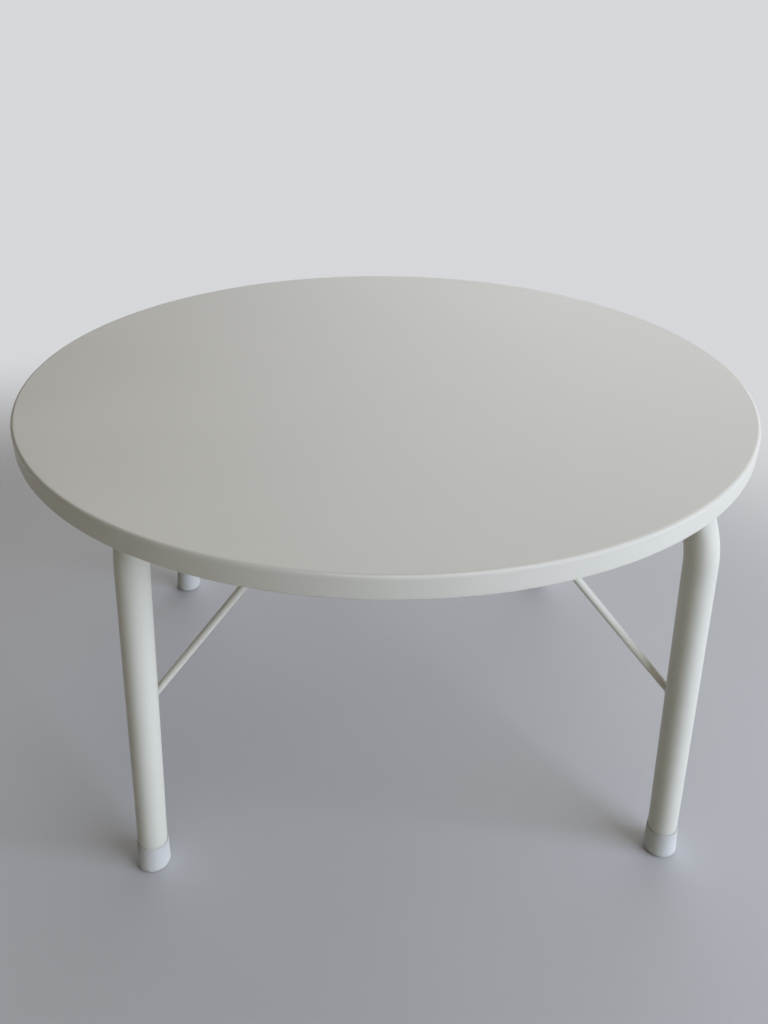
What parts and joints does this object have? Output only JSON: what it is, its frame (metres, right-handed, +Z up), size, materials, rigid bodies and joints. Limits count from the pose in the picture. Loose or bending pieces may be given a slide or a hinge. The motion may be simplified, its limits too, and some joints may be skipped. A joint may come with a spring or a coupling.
{
  "type": "folding camping table",
  "caption": "Low round camping table with a shallow pressed steel top on bent tube leg frames that fold flat under it, locked open by wire stays.",
  "frame": {"origin": "on the floor, under the middle of the round top", "axes": "+Z up, X from the left leg frame to the right one, +Y to the back, so the picture looks along +Y from the front"},
  "size_m": [0.6, 0.6, 0.356],
  "materials": {
    "pan_paint": "satin warm white stove enamel",
    "tube_paint": "satin warm white stove enamel",
    "wire_paint": "satin warm white stove enamel on round wire",
    "cap_plastic": "moulded bluish white plastic",
    "block_plastic": "moulded pale plastic",
    "zinc_plate": "bright zinc plate"
  },
  "bodies": {
    "top": {"top_pan": "pan_paint", "left_front_saddle": "pan_paint", "left_front_saddle_block": "block_plastic", "left_front_stay_clip": "pan_paint", "left_front_saddle_inner_nut": "zinc_plate", "left_front_saddle_outer_nut": "zinc_plate", "left_front_clip_inner_nut": "zinc_plate", "left_front_clip_outer_nut": "zinc_plate", "left_rear_saddle": "pan_paint", "left_rear_saddle_block": "block_plastic", "left_rear_stay_clip": "pan_paint", "left_rear_saddle_inner_nut": "zinc_plate", "left_rear_saddle_outer_nut": "zinc_plate", "left_rear_clip_inner_nut": "zinc_plate", "left_rear_clip_outer_nut": "zinc_plate", "right_front_saddle": "pan_paint", "right_front_saddle_block": "block_plastic", "right_front_stay_clip": "pan_paint", "right_front_saddle_inner_nut": "zinc_plate", "right_front_saddle_outer_nut": "zinc_plate", "right_front_clip_inner_nut": "zinc_plate", "right_front_clip_outer_nut": "zinc_plate", "right_rear_saddle": "pan_paint", "right_rear_saddle_block": "block_plastic", "right_rear_stay_clip": "pan_paint", "right_rear_saddle_inner_nut": "zinc_plate", "right_rear_saddle_outer_nut": "zinc_plate", "right_rear_clip_inner_nut": "zinc_plate", "right_rear_clip_outer_nut": "zinc_plate"},
    "left_frame": {"left_leg_frame": "tube_paint", "left_front_foot_cap": "cap_plastic", "left_rear_foot_cap": "cap_plastic"},
    "left_front_stay": {"left_front_stay": "wire_paint"},
    "left_rear_stay": {"left_rear_stay": "wire_paint"},
    "right_frame": {"right_leg_frame": "tube_paint", "right_front_foot_cap": "cap_plastic", "right_rear_foot_cap": "cap_plastic"},
    "right_front_stay": {"right_front_stay": "wire_paint"},
    "right_rear_stay": {"right_rear_stay": "wire_paint"}
  },
  "joints": [
    {"name": "left_frame_fold", "type": "hinge", "parent": "top", "child": "left_frame", "pos_m": [-0.1929, 0.016, 0.3334], "axis": [0, -1, 0], "range_deg": [0, 93.96]},
    {"name": "left_front_stay_swing", "type": "hinge", "parent": "top", "child": "left_front_stay", "pos_m": [-0.057, -0.1708, 0.3505], "axis": [0, -1, 0], "range_deg": [0, 127.96]},
    {"name": "left_rear_stay_swing", "type": "hinge", "parent": "top", "child": "left_rear_stay", "pos_m": [-0.057, 0.2028, 0.3505], "axis": [0, -1, 0], "range_deg": [0, 127.96]},
    {"name": "right_frame_fold", "type": "hinge", "parent": "top", "child": "right_frame", "pos_m": [0.1929, -0.016, 0.3334], "axis": [0, 1, 0], "range_deg": [0, 93.96]},
    {"name": "right_front_stay_swing", "type": "hinge", "parent": "top", "child": "right_front_stay", "pos_m": [0.057, -0.2028, 0.3505], "axis": [0, 1, 0], "range_deg": [0, 127.96]},
    {"name": "right_rear_stay_swing", "type": "hinge", "parent": "top", "child": "right_rear_stay", "pos_m": [0.057, 0.1708, 0.3505], "axis": [0, 1, 0], "range_deg": [0, 127.96]}
  ]
}
